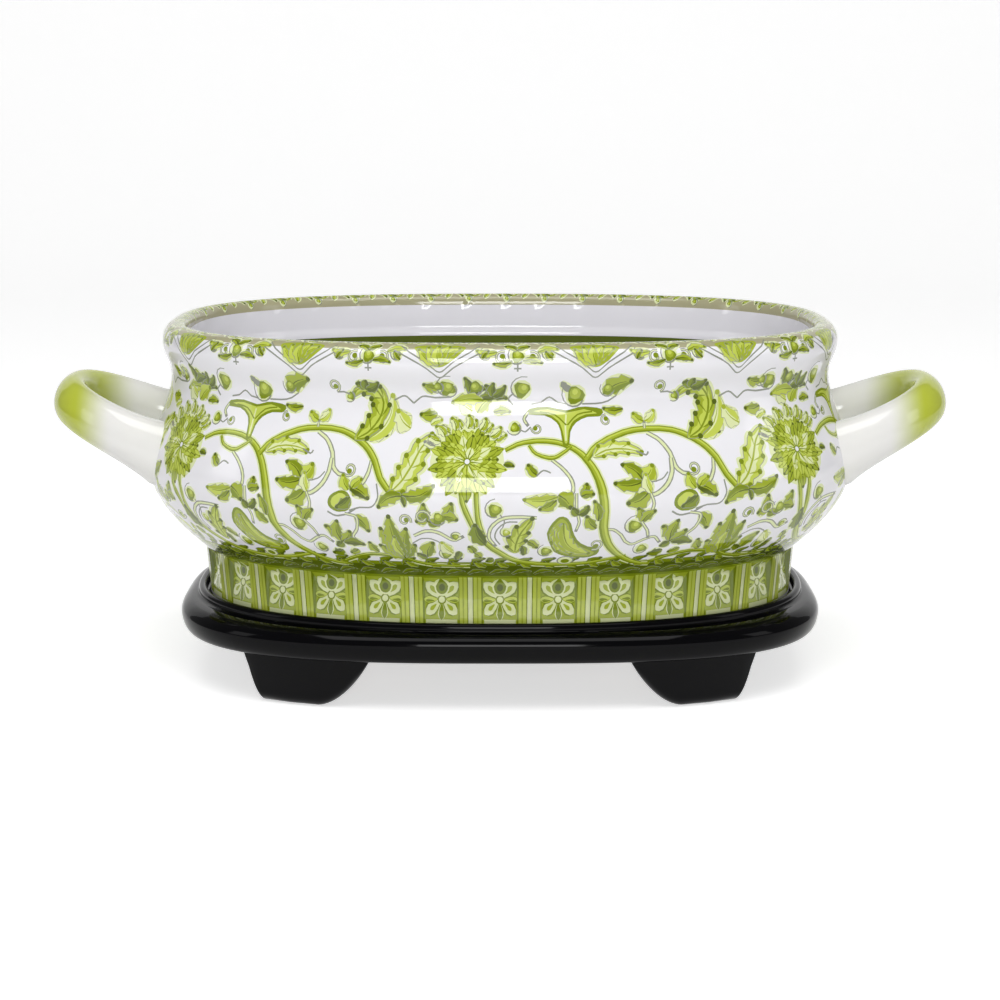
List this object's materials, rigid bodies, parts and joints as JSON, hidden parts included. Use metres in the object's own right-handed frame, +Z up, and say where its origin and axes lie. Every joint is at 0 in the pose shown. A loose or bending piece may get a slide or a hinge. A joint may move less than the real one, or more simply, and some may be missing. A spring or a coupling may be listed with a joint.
{
  "type": "jardiniere on stand",
  "caption": "Oval glazed porcelain basin with rolled rim and two loop handles, resting in a moulded black lacquered wooden stand on bracket feet; holds plants.",
  "frame": {"origin": "on the floor, under the middle of the stand", "axes": "+X through the two handles, +Y to the back, +Z up"},
  "size_m": [0.5584, 0.305, 0.22],
  "materials": {
    "porcelain": "white porcelain under clear glaze, with a hand-painted green lotus and vine scroll",
    "green_glaze": "yellow-green glaze fading to white towards the basin",
    "black_lacquer": "hardwood under polished black lacquer",
    "panel_board": "thin board stained black",
    "raw_wood": "planed wood left bare underneath",
    "zinc_steel": "zinc-plated wood screws"
  },
  "bodies": {
    "stand": {"frame_rail_front": "black_lacquer", "frame_rail_back": "black_lacquer", "frame_end_left": "black_lacquer", "frame_end_right": "black_lacquer", "floor_panel": "panel_board", "batten_left": "raw_wood", "batten_right": "raw_wood", "foot_front_left": "black_lacquer", "foot_front_right": "black_lacquer", "foot_back_left": "black_lacquer", "foot_back_right": "black_lacquer", "glue_block_front_left": "raw_wood", "glue_block_front_right": "raw_wood", "glue_block_back_left": "raw_wood", "glue_block_back_right": "raw_wood", "foot_screw_front_left": "zinc_steel", "foot_screw_front_right": "zinc_steel", "foot_screw_back_left": "zinc_steel", "foot_screw_back_right": "zinc_steel", "block_screw_front_left": "zinc_steel", "block_screw_front_right": "zinc_steel", "block_screw_back_left": "zinc_steel", "block_screw_back_right": "zinc_steel", "dowel_front_left_inner": "raw_wood", "dowel_front_left_outer": "raw_wood", "dowel_front_right_inner": "raw_wood", "dowel_front_right_outer": "raw_wood", "dowel_back_left_inner": "raw_wood", "dowel_back_left_outer": "raw_wood", "dowel_back_right_inner": "raw_wood", "dowel_back_right_outer": "raw_wood"},
    "jardiniere": {"basin": "porcelain", "handle_left": "green_glaze", "handle_right": "green_glaze"}
  },
  "joints": [
    {"name": "jardiniere_lift", "type": "slide", "parent": "stand", "child": "jardiniere", "axis": [0, 0, 1], "range_m": [0, 0.15]}
  ]
}
